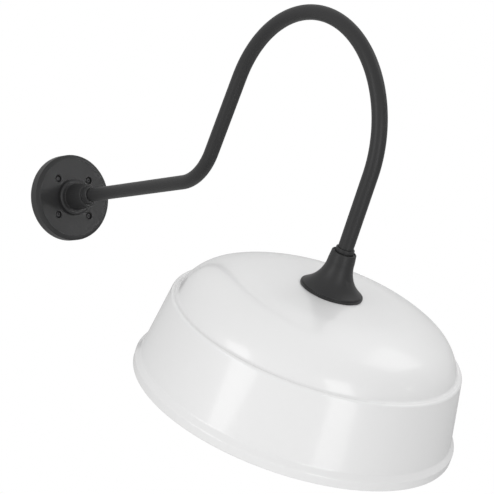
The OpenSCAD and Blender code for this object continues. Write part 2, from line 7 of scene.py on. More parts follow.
import json
import logging
from dataclasses import dataclass
from enum import Enum
from math import asin, ceil, copysign, cos, degrees, pi, radians, sin, tan
from typing import Callable, Sequence, Union

import bmesh
import bpy
from bpy.types import Material, NodeSocket, NodeTree, Object
from mathutils import Matrix, Vector


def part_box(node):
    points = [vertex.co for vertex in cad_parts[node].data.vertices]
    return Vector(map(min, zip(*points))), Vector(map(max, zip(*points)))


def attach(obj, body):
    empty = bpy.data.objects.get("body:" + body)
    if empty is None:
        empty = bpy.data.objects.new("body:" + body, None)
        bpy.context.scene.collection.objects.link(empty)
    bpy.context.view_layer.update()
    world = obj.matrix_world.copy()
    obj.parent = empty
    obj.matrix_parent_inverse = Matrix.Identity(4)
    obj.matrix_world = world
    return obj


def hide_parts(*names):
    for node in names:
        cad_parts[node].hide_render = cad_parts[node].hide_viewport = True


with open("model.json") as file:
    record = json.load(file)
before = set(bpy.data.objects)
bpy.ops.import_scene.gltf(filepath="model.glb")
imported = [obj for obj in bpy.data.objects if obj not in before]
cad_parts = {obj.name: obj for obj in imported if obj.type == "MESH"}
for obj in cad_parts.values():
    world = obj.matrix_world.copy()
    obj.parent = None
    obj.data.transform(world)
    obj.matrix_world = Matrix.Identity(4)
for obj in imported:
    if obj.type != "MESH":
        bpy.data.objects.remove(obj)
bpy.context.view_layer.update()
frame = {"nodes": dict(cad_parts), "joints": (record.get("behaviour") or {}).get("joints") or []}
LOG = logging.getLogger("barn_light")
MM = 0.001
TINY = 1e-6
SHARP_ANGLE = radians(32)
MERGE_DISTANCE = 1e-7
# Play of a fit, height of a sliver, and how far a tool stands out of a piece.
FIT = 0.1
SLIVER = 0.01
OVERLAP = 1.0
SET_SCREW_HOLE = ((0, 5), (2.6, 5), (2.6, 40), (0, 40))
LAMP_PITCH = 3.63
THREAD_STEP = 0.5

Point = tuple[float, float]
Corner = tuple[float, float, float]
Corners = tuple[Corner, ...]
Colour = tuple[float, float, float]
Spot = tuple[float, float, float]
Swell = Callable[[float, float, float], float]


class Body(Enum):
    """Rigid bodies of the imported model."""

    FIXTURE = "fixture"
    LAMP = "lamp"


class Cut(Enum):
    """Ways in which a tool changes a piece."""

    REMOVE = "DIFFERENCE"
    ADD = "UNION"


class Texture(Enum):
    """Relief that a finish carries."""

    SPECKLE = "speckle"
    RIPPLE = "ripple"
    CELLS = "cells"
    TURNED = "turned"


# Shader maths


class Wire:
    """A node's output that takes part in Python expressions."""

    def __init__(self, graph: "Graph", socket: NodeSocket) -> None:
        """Keeps the graph and the socket."""
        self.graph = graph
        self.socket = socket

    def _maths(self, operation: str, first: "Value", second: "Value") -> "Wire":
        """Adds a Math node.

        Args:
            operation: Name of the Math node's operation.
            first, second: Its values.

        Returns:
            The node's result.
        """
        return self.graph.node("ShaderNodeMath", {"operation": operation}, {0: first, 1: second})

    def __add__(self, other: "Value") -> "Wire":
        """Sum."""
        return self._maths("ADD", self, other)

    __radd__ = __add__

    def __sub__(self, other: "Value") -> "Wire":
        """Difference."""
        return self._maths("SUBTRACT", self, other)

    def __rsub__(self, other: "Value") -> "Wire":
        """Difference with the value first."""
        return self._maths("SUBTRACT", other, self)

    def __mul__(self, other: "Value") -> "Wire":
        """Product."""
        return self._maths("MULTIPLY", self, other)

    __rmul__ = __mul__

    def larger(self, other: "Value") -> "Wire":
        """Larger of two values."""
        return self._maths("MAXIMUM", self, other)


Value = Union[float, Wire]


class Graph:
    """Node tree in which every node is made by one method."""

    def __init__(self, tree: NodeTree) -> None:
        """Empties the tree and keeps it."""
        self.tree = tree
        tree.nodes.clear()

    def node(
        self, kind: str, settings: dict | None = None, inputs: dict | None = None, output: int | str = 0
    ) -> Wire:
        """Adds a node.

        Args:
            kind: Blender's name for the node's type.
            settings: Attributes that are set first.
            inputs: Values or wires by socket name or number.
            output: Socket to return, by name or number.

        Returns:
            The chosen output, or input where the node has no outputs.
        """
        made = self.tree.nodes.new(kind)
        for key, value in (settings or {}).items():
            setattr(made, key, value)
        for key, value in (inputs or {}).items():
            if isinstance(value, Wire):
                self.tree.links.new(value.socket, made.inputs[key])
            else:
                made.inputs[key].default_value = value
        sockets = made.outputs if len(made.outputs) else made.inputs
        return Wire(self, sockets[output])

    def mix(self, share: Value, first: Colour | Wire, second: Colour | Wire) -> Wire:
        """Mixes two colours.

        Args:
            share: Share of the second colour.
            first, second: Colours at share 0 and at share 1.

        Returns:
            The mixed colour.
        """
        tones = [tone if isinstance(tone, Wire) else (*tone, 1.0) for tone in (first, second)]
        return self.node("ShaderNodeMix", {"data_type": "RGBA"}, {0: share, 6: tones[0], 7: tones[1]}, 2)

    def vector(self, operation: str, first: Wire, second: Spot | Vector) -> Wire:
        """Works out a number from two vectors.

        Args:
            operation: Name of the Vector Math node's operation.
            first, second: The vectors.

        Returns:
            The number.
        """
        return self.node("ShaderNodeVectorMath", {"operation": operation}, {0: first, 1: second}, "Value")

    def noise(self, place: Wire, size: float, detail: float = 2.0) -> Wire:
        """Cloudy noise from 0 to 1.

        Args:
            place: Position in metres.
            size: Size of its features in millimetres.
            detail: Number of finer layers.

        Returns:
            The noise.
        """
        inputs = {"Vector": place, "Scale": 1 / (size * MM), "Detail": detail}
        return self.node("ShaderNodeTexNoise", {}, inputs)


@dataclass(frozen=True)
class Finish:
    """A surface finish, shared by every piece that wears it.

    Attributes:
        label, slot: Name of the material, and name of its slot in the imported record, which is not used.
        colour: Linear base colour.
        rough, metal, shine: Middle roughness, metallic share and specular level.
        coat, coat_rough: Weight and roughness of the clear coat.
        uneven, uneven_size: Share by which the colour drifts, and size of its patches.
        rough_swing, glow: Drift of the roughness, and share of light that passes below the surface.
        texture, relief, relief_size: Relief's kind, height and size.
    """

    label: str
    slot: str
    colour: Colour
    rough: float
    metal: float = 0.0
    shine: float = 0.5
    coat: float = 0.0
    coat_rough: float = 0.05
    uneven: float = 0.08
    uneven_size: float = 6.0
    rough_swing: float = 0.05
    glow: float = 0.0
    texture: Texture = Texture.SPECKLE
    relief: float = 0.02
    relief_size: float = 0.8

    def _height(self, graph: Graph, place: Wire) -> Wire:
        """Relief of the surface, from about 0 to 1.

        Args:
            graph: The material's graph.
            place: Position in metres.

        Returns:
            The height.
        """
        inputs = {"Vector": place, "Scale": 1 / (self.relief_size * MM)}
        if self.texture is Texture.CELLS:
            return graph.node("ShaderNodeTexVoronoi", {"feature": "F1"}, inputs, "Distance")
        if self.texture is Texture.TURNED:
            settings = {"wave_type": "BANDS", "bands_direction": "DIAGONAL"}
            return graph.node("ShaderNodeTexWave", settings, {**inputs, "Distortion": 1.5}, "Fac")
        fine = graph.noise(place, self.relief_size, 3.0)
        if self.texture is Texture.RIPPLE:
            return fine
        return 0.7 * fine + 0.3 * graph.noise(place, self.relief_size * 3.5)

    def material(self) -> Material:
        """Builds the material, or finds it if it is there.

        Returns:
            The material.
        """
        found = bpy.data.materials.get(self.label)
        if found is not None:
            return found
        made = bpy.data.materials.new(self.label)
        made.use_nodes = True
        graph = Graph(made.node_tree)
        place = graph.node("ShaderNodeTexCoord", output="Object")
        patches = graph.noise(place, self.uneven_size, 4.0)
        height = self._height(graph, place)
        dark = tuple(part * (1 - self.uneven) for part in self.colour)
        light = tuple(min(1.0, part * (1 + self.uneven)) for part in self.colour)
        tone = graph.mix(0.5 * patches + 0.5 * height, dark, light)
        rough = self.rough + (patches - 0.5) * (2 * self.rough_swing)
        bump = graph.node(
            "ShaderNodeBump", {}, {"Strength": 1.0, "Distance": self.relief * MM, "Height": height}
        )
        inputs = {
            "Base Color": tone,
            "Roughness": rough,
            "Metallic": self.metal,
            "Specular IOR Level": self.shine,
            "Coat Weight": self.coat,
            "Coat Roughness": self.coat_rough,
            "Normal": bump,
        }
        if self.glow:
            inputs["Subsurface Weight"] = self.glow
            inputs["Subsurface Scale"] = 4 * MM
        shader = graph.node("ShaderNodeBsdfPrincipled", {}, inputs)
        graph.node("ShaderNodeOutputMaterial", {}, {"Surface": shader})
        return made


POWDER_BLACK = Finish(
    "black_powder_coat", "black_paint", (0.017, 0.017, 0.0175), 0.42, shine=0.38,
    uneven=0.3, uneven_size=1.6, rough_swing=0.08, relief=0.06, relief_size=0.7,
)
SCREW_BLACK = Finish(
    "black_screw_oxide", "black_screw", (0.045, 0.045, 0.047), 0.4, metal=0.2,
    uneven=0.25, uneven_size=1.2, relief_size=0.4,
)
ENAMEL_WHITE = Finish(
    "white_gloss_enamel", "white_enamel", (0.80, 0.80, 0.80), 0.30, coat=0.65, coat_rough=0.1,
    uneven=0.008, uneven_size=60.0, rough_swing=0.01, texture=Texture.RIPPLE, relief=0.003, relief_size=9.0,
)
ZINC = Finish(
    "zinc_plate", "zinc", (0.62, 0.64, 0.67), 0.34, metal=1.0,
    uneven=0.16, uneven_size=4.0, rough_swing=0.1, texture=Texture.CELLS, relief=0.01, relief_size=2.5,
)
BRASS = Finish(
    "drawn_brass", "brass", (0.72, 0.50, 0.20), 0.28, metal=1.0,
    uneven=0.12, rough_swing=0.08, texture=Texture.TURNED, relief=0.008, relief_size=1.2,
)
GREEN_DIP = Finish(
    "green_ground_dip", "green_screw", (0.03, 0.16, 0.05), 0.4, metal=0.5,
    uneven=0.2, relief_size=0.6,
)
FOAM = Finish(
    "closed_cell_foam", "foam", (0.025, 0.025, 0.026), 0.85,
    uneven=0.3, texture=Texture.CELLS, relief=0.12, relief_size=0.9,
)
SEAL_RUBBER = Finish(
    "seal_rubber", "seal_rubber", (0.02, 0.02, 0.02), 0.65, uneven=0.2, relief=0.03, relief_size=1.0,
)
PORCELAIN = Finish(
    "glazed_porcelain", "porcelain", (0.78, 0.76, 0.70), 0.16, coat=0.6,
    uneven=0.03, uneven_size=9.0, texture=Texture.RIPPLE, relief=0.03, relief_size=3.0,
)
LEAD_BLACK = Finish("black_insulation", "lead_black", (0.02, 0.02, 0.02), 0.45, relief=0.01)
LEAD_WHITE = Finish("white_insulation", "lead_white", (0.7, 0.7, 0.68), 0.45, uneven=0.05, relief=0.01)
CONNECTOR = Finish("orange_moulding", "connector", (0.75, 0.16, 0.02), 0.42, relief_size=1.0)
NICKEL = Finish(
    "nickel_plate", "nickel", (0.66, 0.63, 0.58), 0.22, metal=1.0,
    uneven=0.1, rough_swing=0.08, texture=Texture.TURNED, relief=0.004, relief_size=0.8,
)
DARK_GLASS = Finish("dark_insulator", "dark_insulator", (0.015, 0.015, 0.02), 0.12, coat=0.8, relief=0.01)
LAMP_WHITE = Finish(
    "moulded_white", "lamp_white", (0.78, 0.78, 0.76), 0.36, uneven=0.02, relief=0.015, relief_size=0.9,
)
OPAL = Finish(
    "opal_globe", "opal", (0.86, 0.85, 0.81), 0.42, glow=0.35, coat=0.2, coat_rough=0.3,
    uneven=0.015, uneven_size=12.0, relief=0.01, relief_size=0.5,
)


# Shapes


def stand(origin: Vector, up: Vector) -> Matrix:
    """Frame whose Z is a given direction and whose X is the row's X.

    Args:
        origin: The frame's origin, in metres.
        up: Direction of its Z.

    Returns:
        The frame's matrix.
    """
    side = Vector((1, 0, 0))
    return Matrix.Translation(origin) @ Matrix((side, up.cross(side), up)).transposed().to_4x4()


def smooth(piece: Object) -> None:
    """Shades a piece smooth between its sharp edges, with flat faces kept flat.

    Args:
        piece: The piece.
    """
    mesh = bmesh.new()
    mesh.from_mesh(piece.data)
    bmesh.ops.remove_doubles(mesh, verts=mesh.verts, dist=MERGE_DISTANCE)
    bmesh.ops.recalc_face_normals(mesh, faces=mesh.faces)
    for face in mesh.faces:
        face.smooth = True
    for edge in mesh.edges:
        edge.smooth = len(edge.link_faces) == 2 and edge.calc_face_angle() < SHARP_ANGLE
    mesh.to_mesh(piece.data)
    mesh.free()
    if not piece.modifiers:
        piece.modifiers.new("even_normals", "WEIGHTED_NORMAL").keep_sharp = True


def mesh_piece(name: str, points: Sequence[Vector], faces: Sequence[Sequence[int]]) -> Object:
    """Makes an object from points and faces.

    Args:
        name: Name of the object.
        points: Points in metres.
        faces: Point numbers of each face.

    Returns:
        The object.
    """
    mesh = bpy.data.meshes.new(name)
    mesh.from_pydata([tuple(point) for point in points], [], faces)
    piece = bpy.data.objects.new(name, mesh)
    bpy.context.scene.collection.objects.link(piece)
    smooth(piece)
    return piece


def carve(piece: Object, tools: Sequence[Object], cut: Cut = Cut.REMOVE) -> None:
    """Applies tools to a piece one after another, and removes them.

    Args:
        piece: The piece that is changed.
        tools: The tools.
        cut: Whether they are cut away or added.
    """
    piece.modifiers.clear()
    for tool in tools:
        tool.modifiers.clear()
        change = piece.modifiers.new("cut", "BOOLEAN")
        change.operation, change.object, change.solver = cut.value, tool, "EXACT"
        bpy.context.view_layer.update()
        shown = piece.evaluated_get(bpy.context.evaluated_depsgraph_get())
        mesh = bpy.data.meshes.new_from_object(shown)
        piece.modifiers.clear()
        piece.data = mesh
        bpy.data.objects.remove(tool)
    smooth(piece)


def join(name: str, parts: Sequence[Object]) -> Object:
    """Joins several meshes into one piece.

    Args:
        name: Name of the joined piece.
        parts: The objects; they are removed.

    Returns:
        The joined piece.
    """
    points: list[Vector] = []
    faces: list[list[int]] = []
    for part in parts:
        start = len(points)
        points += [part.matrix_world @ point.co for point in part.data.vertices]
        faces += [[start + number for number in face.vertices] for face in part.data.polygons]
        bpy.data.objects.remove(part)
    return mesh_piece(name, points, faces)


def wear(piece: Object, finish: Finish, node: str, body: Body = Body.FIXTURE) -> None:
    """Dresses a new piece and sets it on its body.

    Args:
        piece: The piece, in place.
        finish: Finish that it wears.
        node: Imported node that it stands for.
        body: Body that it rides on.
    """
    piece.data.materials.clear()
    piece.data.materials.append(finish.material())
    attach(piece, body.value)
    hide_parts(node)
    LOG.info("%s rides on %s and stands for %s", piece.name, body.value, node)


def dress(finishes: dict[str, Finish]) -> None:
    """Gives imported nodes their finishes.

    Args:
        finishes: Finish of each node, by its name.
    """
    for name, finish in finishes.items():
        node = frame["nodes"][name]
        node.data.materials.clear()
        node.data.materials.append(finish.material())
        LOG.info("%s is a packed node in %s", name, finish.label)


def on_arc(centre: Point, radius: float, start: float, stop: float, steps: int) -> list[Point]:
    """Points on an arc, with angles in degrees measured from the upright.

    Args:
        centre: Centre of the arc.
        radius: Its radius, negative for a hollow.
        start: First angle.
        stop: Last angle.
        steps: Number of steps.

    Returns:
        The points, first to last.
    """
    turns = [radians(start + (stop - start) * step / steps) for step in range(steps + 1)]
    return [(centre[0] + radius * sin(turn), centre[1] + radius * cos(turn)) for turn in turns]


def rounded(corners: Sequence[Corner], steps: int = 4) -> list[Point]:
    """Rounds the corners of a closed outline.

    Args:
        corners: Radius, height and rounding of each corner.
        steps: Steps in each rounding.

    Returns:
        The outline's points.
    """
    found: list[Point] = []
    count = len(corners)
    for index, (x, y, size) in enumerate(corners):
        here = Vector((x, y))
        back = Vector(corners[index - 1][:2]) - here
        ahead = Vector(corners[(index + 1) % count][:2]) - here
        if size <= 0 or min(back.length, ahead.length) < TINY:
            found.append((x, y))
            continue
        half = back.angle(ahead) / 2
        reach = min(size / tan(half), 0.49 * back.length, 0.49 * ahead.length)
        radius = reach * tan(half)
        first, last = here + back.normalized() * reach, here + ahead.normalized() * reach
        centre = here + (back.normalized() + ahead.normalized()).normalized() * (radius / sin(half))
        arm, sweep = first - centre, (first - centre).angle_signed(last - centre)
        for step in range(steps + 1):
            moved = arm.copy()
            moved.rotate(Matrix.Rotation(-sweep * step / steps, 2))
            found.append(tuple(centre + moved))
    return found


def turned(
    name: str, outline: Sequence[Point], place: Matrix, sides: int = 96, swell: Swell | None = None
) -> Object:
    """Turns a closed outline about the Z axis of a frame.

    Args:
        name: Name of the piece.
        outline: Radius and height of each point.
        place: Frame that it stands in.
        sides: Number of sides.
        swell: Extra radius from radius, height and angle, if any.

    Returns:
        The piece.
    """
    points: list[Vector] = []
    rings: list[list[int]] = []
    for radius, height in outline:
        start = len(points)
        if radius < TINY:
            points.append(place @ Vector((0, 0, height * MM)))
            rings.append([start] * sides)
            continue
        for side in range(sides):
            angle = 2 * pi * side / sides
            full = radius + (swell(radius, height, angle) if swell else 0.0)
            points.append(place @ (Vector((full * cos(angle), full * sin(angle), height)) * MM))
        rings.append(list(range(start, start + sides)))
    faces: list[list[int]] = []
    for first, second in zip(rings, rings[1:] + rings[:1]):
        for side in range(sides):
            after = (side + 1) % sides
            loop = [first[side], first[after], second[after], second[side]]
            loop = [number for at, number in enumerate(loop) if number != loop[at - 1]]
            if len(set(loop)) > 2:
                faces.append(loop)
    return mesh_piece(name, points, faces)


def thread_rows(start: float, stop: float) -> list[float]:
    """Heights of a threaded wall's rows, downwards.

    Args:
        start: Height of the first row.
        stop: Height that the rows stay above.

    Returns:
        The heights.
    """
    count = ceil((start - stop) / THREAD_STEP - TINY)
    return [start - THREAD_STEP * step for step in range(count)]


def thread(depth: float, top: float, bottom: float) -> Swell:
    """Rolled lamp thread that fades out at both ends.

    Args:
        depth: Depth from crest to root.
        top: Height at which it ends.
        bottom: Height at which it begins.

    Returns:
        A function that gives the extra radius.
    """

    def swell(radius: float, height: float, angle: float) -> float:
        """Extra radius at one point."""
        fade = max(0.0, min(1.0, (top - height) / 2, (height - bottom) / 2))
        return -depth / 2 * fade * (1 - cos(2 * pi * height / LAMP_PITCH - angle))

    return swell


# Sub-assemblies


@dataclass
class WallSide:
    """Wall plate with its ring, gasket, screws, hub and hub nut.

    Attributes:
        place: Frame of the wall, with Z off it.
        plate_r, side_h, plate_h: Plate's radius, and heights of its side and face.
        cove_w, cove_sag, face_r: Cove's width and hollow, and radius of a point on the face.
        face_t, rim_w: Thickness of the face and the rim.
        screw_circle_r: Radius that the screws stand on.
        sink_r, sink_h, sink_lip: Counterbore's radius, depth and chamfer.
        screw_r, head_r, head_h, dome_start: Shank's radius, and head's radius, height and straight share.
        twists: Degrees by which the heads are turned.
        recess_half, recess_reach: Cross recess's half width, and half lengths below and above.
        pillar_r, ring_t: Screw pillar's radius, and thickness of the ring under it.
        gasket_r, gasket_w, gasket_t: Gasket's middle radius, width and thickness.
        hub_steps: Radius, height and rounding of the hub's corners.
        bore_r, socket_h, pipe_bore_r: Arm socket's radius and start, and radius of the wire way.
        spigot_r, spigot_end, set_screw_h: Spigot's radius and end, and height of the set screw.
    """

    place: Matrix
    plate_r: float = 72.3
    side_h: float = 16.6
    plate_h: float = 20.6
    cove_w: float = 6.4
    cove_sag: float = 0.6
    face_r: float = 60.0
    face_t: float = 4.2
    rim_w: float = 8.0
    screw_circle_r: float = 42.5
    sink_r: float = 5.6
    sink_h: float = 4.0
    sink_lip: float = 0.8
    screw_r: float = 2.0
    head_r: float = 4.5
    head_h: float = 3.5
    dome_start: float = 0.25
    twists: tuple[int, ...] = (20, 51, 82, 113)
    recess_half: float = 0.4
    recess_reach: Point = (0.7, 2.1)
    pillar_r: float = 8.0
    ring_t: float = 2.5
    gasket_r: float = 68.3
    gasket_w: float = 4.0
    gasket_t: float = 1.6
    hub_steps: Corners = (
        (30.1, 20.6, 0.0), (30.1, 28.2, 5.9), (22.3, 28.2, 1.0), (18.2, 66.6, 1.4),
        (15.0, 66.6, 0.8), (14.2, 75.6, 1.0), (13.0, 77.6, 0.5),
    )
    bore_r: float = 11.2
    socket_h: float = 32.6
    pipe_bore_r: float = 8.7
    spigot_r: float = 10.8
    spigot_end: float = 9.4
    set_screw_h: float = 50.6

    def _at_screws(self) -> list[Matrix]:
        """Frames of the four plate screws."""
        turns = [Matrix.Rotation(radians(turn), 4, "Z") for turn in (45, 135, 225, 315)]
        return [self.place @ turn @ Matrix.Translation((self.screw_circle_r * MM, 0, 0)) for turn in turns]

    def _cove(self) -> list[Point]:
        """Points of the hollow cove.

        Returns:
            Radius and height of each point, from the side to the face.
        """
        foot = Vector((self.plate_r, self.side_h))
        head = Vector((self.plate_r - self.cove_w, self.plate_h))
        along = head - foot
        inward = Vector((-along.y, along.x)).normalized()
        found = []
        steps = 8
        for step in range(steps + 1):
            share = step / steps
            sag = self.cove_sag * (1 - (2 * share - 1) ** 2)
            found.append(tuple(foot + along * share + inward * sag))
        return found

    def plate(self) -> None:
        """Builds the hollow plate with its pillars and counterbored holes."""
        back, hollow = self.plate_h - self.face_t, self.plate_r - self.rim_w
        inner = self.gasket_r - self.gasket_w / 2 - FIT
        outer = self.gasket_r + self.gasket_w / 2 + FIT
        groove = self.gasket_t + FIT
        hole = self.spigot_r + 2 * FIT
        rim = rounded([
            (hole, self.plate_h, 0.3), (hole, back, 0.3), (hollow, back, 1.5),
            (hollow, 0, 0.3), (inner, 0, 0.2), (inner, groove, 0), (outer, groove, 0), (outer, 0, 0.2),
            (self.plate_r, 0, 0.6), (self.plate_r, self.side_h, 0.5),
        ])
        cove = self._cove()
        shoulder = rounded([cove[-2] + (0.0,), cove[-1] + (0.6,), (self.face_r, self.plate_h, 0.0)])
        piece = turned("wall_plate_casting", rim + cove[1:-1] + shoulder[1:], self.place, 160)
        reach = self.plate_h - OVERLAP
        pillar = rounded([
            (0, reach, 0), (0, self.ring_t, 0), (self.pillar_r, self.ring_t, 0.4), (self.pillar_r, reach, 0),
        ])
        carve(piece, [turned("pillar", pillar, spot, 48) for spot in self._at_screws()], Cut.ADD)
        floor, shank, mouth = self.plate_h - self.sink_h, self.screw_r + 4 * FIT, self.sink_r + self.sink_lip
        above = self.plate_h + 2 * OVERLAP
        hole = [
            (0, above), (mouth, above), (mouth, self.plate_h + SLIVER),
            (self.sink_r, self.plate_h - self.sink_lip), (self.sink_r, floor),
            (shank, floor), (shank, -OVERLAP), (0, -OVERLAP),
        ]
        carve(piece, [turned("tool", hole, spot, 48) for spot in self._at_screws()])
        wear(piece, POWDER_BLACK, "wall_plate")

    def screws(self) -> None:
        """Builds the four domed screws with their cross recesses."""
        floor, end = self.plate_h - self.sink_h, 4 * FIT
        outline = [(0, end), (self.screw_r, end), (self.screw_r, floor), (self.head_r, floor)]
        for radius, height in on_arc((0, 0), 1, 90, 0, 10):
            share = self.dome_start + (1 - self.dome_start) * height
            outline.append((self.head_r * radius, floor + self.head_h * share))
        square = ((-1, -1), (1, -1), (1, 1), (-1, 1))
        box = [(0, 1, 2, 3), (4, 5, 6, 7), (0, 1, 5, 4), (1, 2, 6, 5), (2, 3, 7, 6), (3, 0, 4, 7)]
        levels = zip((floor + self.head_h * 0.3, floor + self.head_h + OVERLAP), self.recess_reach)
        recess = [Vector((x * wide, y * self.recess_half, z)) * MM for z, wide in levels for x, y in square]
        heads = []
        for spot, twist in zip(self._at_screws(), self.twists):
            head = turned("head", outline, spot, 40)
            tools = []
            for angle in (twist, twist + 90):
                shape = spot @ Matrix.Rotation(radians(angle), 4, "Z")
                tools.append(mesh_piece("tool", [shape @ corner for corner in recess], box))
            carve(head, tools)
            heads.append(head)
        wear(join("plate_screw_set", heads), SCREW_BLACK, "plate_screws")

    def hub(self) -> None:
        """Builds the stepped hub with its spigot and set screw hole."""
        top = self.hub_steps[-1][1]
        outline = rounded([
            *self.hub_steps, (self.bore_r, top, 0.3), (self.bore_r, self.socket_h, 0.0),
            (self.pipe_bore_r, self.socket_h, 0.0), (self.pipe_bore_r, self.spigot_end, 0.3),
            (self.spigot_r, self.spigot_end, 0.5), (self.spigot_r, self.plate_h, 0.0),
        ], 6)
        piece = turned("arm_hub_casting", outline, self.place, 96)
        spot = self.place @ Matrix.Translation((0, 0, self.set_screw_h * MM))
        spot = spot @ Matrix.Rotation(pi / 2, 4, "Y")
        carve(piece, [turned("tool", SET_SCREW_HOLE, spot, 40)])
        wear(piece, POWDER_BLACK, "arm_hub")

    def build(self) -> None:
        """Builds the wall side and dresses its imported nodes."""
        self.plate()
        self.screws()
        self.hub()
        dress({
            "wall_gasket": FOAM, "mounting_ring": ZINC, "ground_screw": GREEN_DIP, "hub_nut": ZINC,
            "hub_set_screw": SCREW_BLACK,
        })


@dataclass
class Arm:
    """Gooseneck tube, bent twice in one upright plane.

    Attributes:
        tube_r, wall, sides: Tube's outer radius, wall and number of sides.
        start, reach: Distances off the wall at which the tube and its first bend begin.
        up_r, up_a, rise: Radius and angle of the first bend, and length after it.
        over_r, over_a, drop: The same for the second bend.
        straight_step, bend_step: Millimetres and degrees of a step, about.
    """

    tube_r: float = 11.1
    wall: float = 2.4
    sides: int = 48
    start: float = 32.6
    reach: float = 330.5
    up_r: float = 88.8
    up_a: float = 56.2
    rise: float = 127.5
    over_r: float = 165.8
    over_a: float = 174.9
    drop: float = 146.8
    straight_step: float = 12.0
    bend_step: float = 1.5

    def line(self) -> list[tuple[Vector, float]]:
        """Stations along the tube's middle, with the direction at each.

        Returns:
            Distance off the wall and height, and the slope in radians.
        """
        spot, slope = Vector((self.start, 0.0)), 0.0
        stations = [(spot.copy(), slope)]
        runs = (
            (self.reach - self.start, 0.0), (self.up_r, self.up_a), (self.rise, 0.0),
            (self.over_r, -self.over_a), (self.drop, 0.0),
        )
        for length, angle in runs:
            if angle == 0:
                steps = max(2, round(length / self.straight_step))
                for _ in range(steps):
                    spot = spot + Vector((cos(slope), sin(slope))) * (length / steps)
                    stations.append((spot.copy(), slope))
                continue
            sign = copysign(1, angle)
            centre = spot + Vector((-sin(slope), cos(slope))) * (length * sign)
            steps, first = max(2, round(abs(angle) / self.bend_step)), slope
            for step in range(1, steps + 1):
                slope = first + radians(angle) * step / steps
                spot = centre - Vector((-sin(slope), cos(slope))) * (length * sign)
                stations.append((spot.copy(), slope))
        return stations

    def build(self) -> None:
        """Sweeps the tube's ring along its line, with its bore."""
        points: list[Vector] = []
        faces: list[list[int]] = []
        rings: list[int] = []
        stations = self.line()
        passes = [(place, self.tube_r) for place in stations]
        passes += [(place, self.tube_r - self.wall) for place in reversed(stations)]
        for (spot, slope), radius in passes:
            rings.append(len(points))
            for side in range(self.sides):
                angle = 2 * pi * side / self.sides
                flat = spot + Vector((-sin(slope), cos(slope))) * (radius * cos(angle))
                points.append(Vector((radius * sin(angle), -flat.x, flat.y)) * MM)
        for first, second in zip(rings, rings[1:] + rings[:1]):
            for side in range(self.sides):
                after = (side + 1) % self.sides
                faces.append([first + side, first + after, second + after, second + side])
        wear(mesh_piece("bent_arm_tube", points, faces), POWDER_BLACK, "gooseneck_arm")


